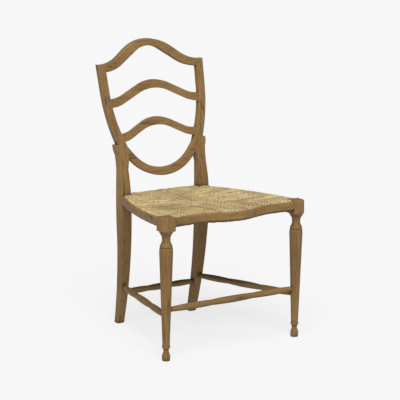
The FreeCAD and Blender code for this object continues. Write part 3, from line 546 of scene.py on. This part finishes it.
def sunk(x, y, edge_to_middle, inward):
    """How far the weave has sunk under a sitter at this place."""
    share = min(max(inward / edge_to_middle, 0), 1)
    away = ((x - HOLLOW[0]) / HOLLOW_SIZE) ** 2 + ((y - HOLLOW[1]) / HOLLOW_SIZE) ** 2
    return SEAT_SINK * share * share * (3 - 2 * share) + HOLLOW_DEPTH * math.exp(-away)


def places(start, end):
    """Evenly spaced cords from start to end, each a little out of line."""
    count = round((end - start) / CORD_PITCH)
    pitch = (end - start) / count
    middles = (start + (i + 0.5) * pitch for i in range(count))
    return [middle + chance.uniform(*OUT_OF_LINE_MM) * MM for middle in middles]


def cord(edge_to_seam, edge_to_middle, where):
    """One cord. where turns a distance in from the edge, and one aside, into x and y."""
    lift = chance.uniform(*LIFT_MM) * MM
    wave = chance.uniform(0, 2 * math.pi)
    drift = chance.uniform(*WANDER_MM) * MM

    def sink_at(inward):
        x, y = where(inward, 0)
        return sunk(x, y, edge_to_middle, inward)

    line = []
    for inward, height in section(edge_to_seam, lift, sink_at):
        aside = drift * math.sin(wave + inward / WANDER_LENGTH)
        x, y = where(inward, aside)
        line.append((x, y, height))
    radius = CORD_RADIUS * chance.uniform(*THICKNESS)
    lay(line, radius, wave, TWIST_LENGTH * chance.uniform(*TWIST))


for x in places(-BLOCK_X, BLOCK_X):
    edge = front_edge(x)
    cord(front_seam(x) - edge, MIDDLE_Y - edge, lambda d, a: (x + a, edge + d))
for x in places(-POST_X, POST_X):
    cord(REAR_Y - rear_seam(x), REAR_Y - MIDDLE_Y, lambda d, a: (x + a, REAR_Y - d))
for side in (-1, 1):
    for y in places(BLOCK_Y + SIDE_MARGIN, POST_Y - SIDE_MARGIN):
        edge = side_edge(y)
        cord(edge - side_seam(y), edge, lambda d, a: (side * (edge - d), y + a))

weave_mesh = bpy.data.meshes.new("rush_weave")
weave_mesh.from_pydata(np.concatenate(cord_points).tolist(), [], cord_faces)
uv_layer = weave_mesh.uv_layers.new(name="cord")
uv_layer.data.foreach_set("uv", np.array(cord_uvs, dtype=np.float32).ravel())
weave_mesh.polygons.foreach_set("use_smooth", [True] * len(weave_mesh.polygons))
weave_mesh.update()
weave = bpy.data.objects.new("rush_weave", weave_mesh)
bpy.context.scene.collection.objects.link(weave)
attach(weave, "root")
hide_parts("rush_seat")
print("faces in the weave:", len(weave_mesh.polygons))

# %% [markdown]
# Nearly half of the cords are gold, and the rest run from tan to straw. Along a
# cord, fibres show as fine lines that follow its twist. Rush has no finish: it is
# matte. Shade is painted between the cords, in the dips of their twists, in the
# hollow and on all that lies below the seat's level.

# %% Rush
RUSH_TAN = "#BCA067"
RUSH_STRAW = "#E2CFA3"
RUSH_GOLD = "#E2C78E"
RUSH_SHADE = "#4E3A1C"
NOT_GOLD = 0.55
# Fibre marks to a metre of cord and to a lobe, and how far the cords' marks differ.
FIBRE_SCALE = (110.0, 5.0, 50.0)
FIBRE_DEPTH = 0.4 * MM
PATCH_SIZE = 45 * MM
GAP_REACH = 5 * MM
HOLLOW_SHADE_EDGE = 110 * MM
HOLLOW_SHADE_CENTRE = 20 * MM
BOTTOM_SHADE_HEIGHT = 5 * MM
material, tree = new_material("natural rush, hand twisted")
each = add(tree, "NewGeometry", out="Random Per Island")
own = add(
    tree,
    "ValToRGB",
    {"Fac": each},
    stops=((0.0, linear(RUSH_TAN)), (NOT_GOLD, linear(RUSH_STRAW)), (NOT_GOLD, linear(RUSH_GOLD))),
)
along_cord = add(tree, "UVMap", uv_map="cord")
# The second number of a place on a cord counts the lobes, and it turns with the
# twist. So the fibres follow the twist, and shade is painted into the dip of each turn.
lobe_count = add(tree, "SeparateXYZ", {0: along_cord}, out="Y")
lobe_turn = add(tree, "Math", {0: lobe_count, 1: 2 * math.pi}, operation="MULTIPLY")
lobe_height = add(tree, "Math", {0: lobe_turn}, operation="COSINE")
painted_twist_shade = add(tree, "MapRange", between(lobe_height, -0.3, -1.0, 0.0, 0.5))
spread = add(tree, "CombineXYZ", {"Z": each})
fibre_place = add(tree, "VectorMath", {0: along_cord, 1: spread}, operation="ADD")
fibre_scaled = add(tree, "Mapping", {"Vector": fibre_place, "Scale": FIBRE_SCALE})
fibres = add(tree, "TexNoise", {"Vector": fibre_scaled, "Scale": 1.0, "Detail": 3.0})
place = add(tree, "TexCoord", out="Object")
patches = add(tree, "TexNoise", {"Vector": place, "Scale": 1 / PATCH_SIZE, "Detail": 2.0})
fibre_tone = add(tree, "MapRange", between(fibres, 0.32, 0.68, 0.55, 1.25))
patch_tone = add(tree, "MapRange", between(patches, 0.35, 0.65, 0.74, 1.08))
both = add(tree, "Math", {0: fibre_tone, 1: patch_tone}, operation="MULTIPLY")
toned = add(tree, "VectorMath", {0: own, "Scale": both}, operation="SCALE")
# Painted shade: the rush is darker between the cords, where little of the sky reaches.
open_sky = add(tree, "AmbientOcclusion", {"Distance": GAP_REACH}, out="AO", samples=6)
shade = add(tree, "MapRange", between(open_sky, 0.35, 0.9, 1.0, 0.0))
# Painted shade: the cords in the sitters' hollow are darker, in patches.
hollow_place = (HOLLOW[0], SEAT_ORIGIN_Y + HOLLOW[1], SEAT_ORIGIN_Z + SEAT_TOP)
from_hollow = add(
    tree, "VectorMath", {0: place, 1: hollow_place}, out="Value", operation="DISTANCE"
)
pressed = add(tree, "MapRange", between(from_hollow, HOLLOW_SHADE_EDGE, HOLLOW_SHADE_CENTRE, 0.0, 1.0))
painted_hollow_shade = add(tree, "Math", {0: pressed, 1: patches}, operation="MULTIPLY")
open_shade = add(tree, "Math", {0: shade, 1: painted_hollow_shade}, operation="MAXIMUM")
shade_all = add(tree, "Math", {0: open_shade, 1: painted_twist_shade}, operation="MAXIMUM")
shaded = add(tree, "Mix", blend(shade_all, toned, linear(RUSH_SHADE)), **COLOUR_MIX)
# Painted shade: the weave below the seat's level is painted dark brown.
seat_up = (0.0, math.sin(SEAT_SLOPE), math.cos(SEAT_SLOPE))
height = add(tree, "VectorMath", {0: place, 1: seat_up}, out="Value", operation="DOT_PRODUCT")
seat_level = SEAT_ORIGIN_Y * seat_up[1] + SEAT_ORIGIN_Z * seat_up[2]
painted_seat_bottom_shade = add(
    tree, "MapRange", between(height, seat_level + BOTTOM_SHADE_HEIGHT, seat_level, 0.0, 0.85)
)
seat_bottom_shaded = add(tree, "Mix", blend(painted_seat_bottom_shade, shaded, linear(RUSH_SHADE)), **COLOUR_MIX)
normal = add(tree, "Bump", {"Height": fibres, "Strength": 0.5, "Distance": FIBRE_DEPTH})
shader = add(
    tree,
    "BsdfPrincipled",
    {"Base Color": seat_bottom_shaded, "Roughness": 0.8, "IOR": 1.45, "Normal": normal},
)
add(tree, "OutputMaterial", {"Surface": shader})
weave_mesh.materials.append(material)
print("the weave has its rush")
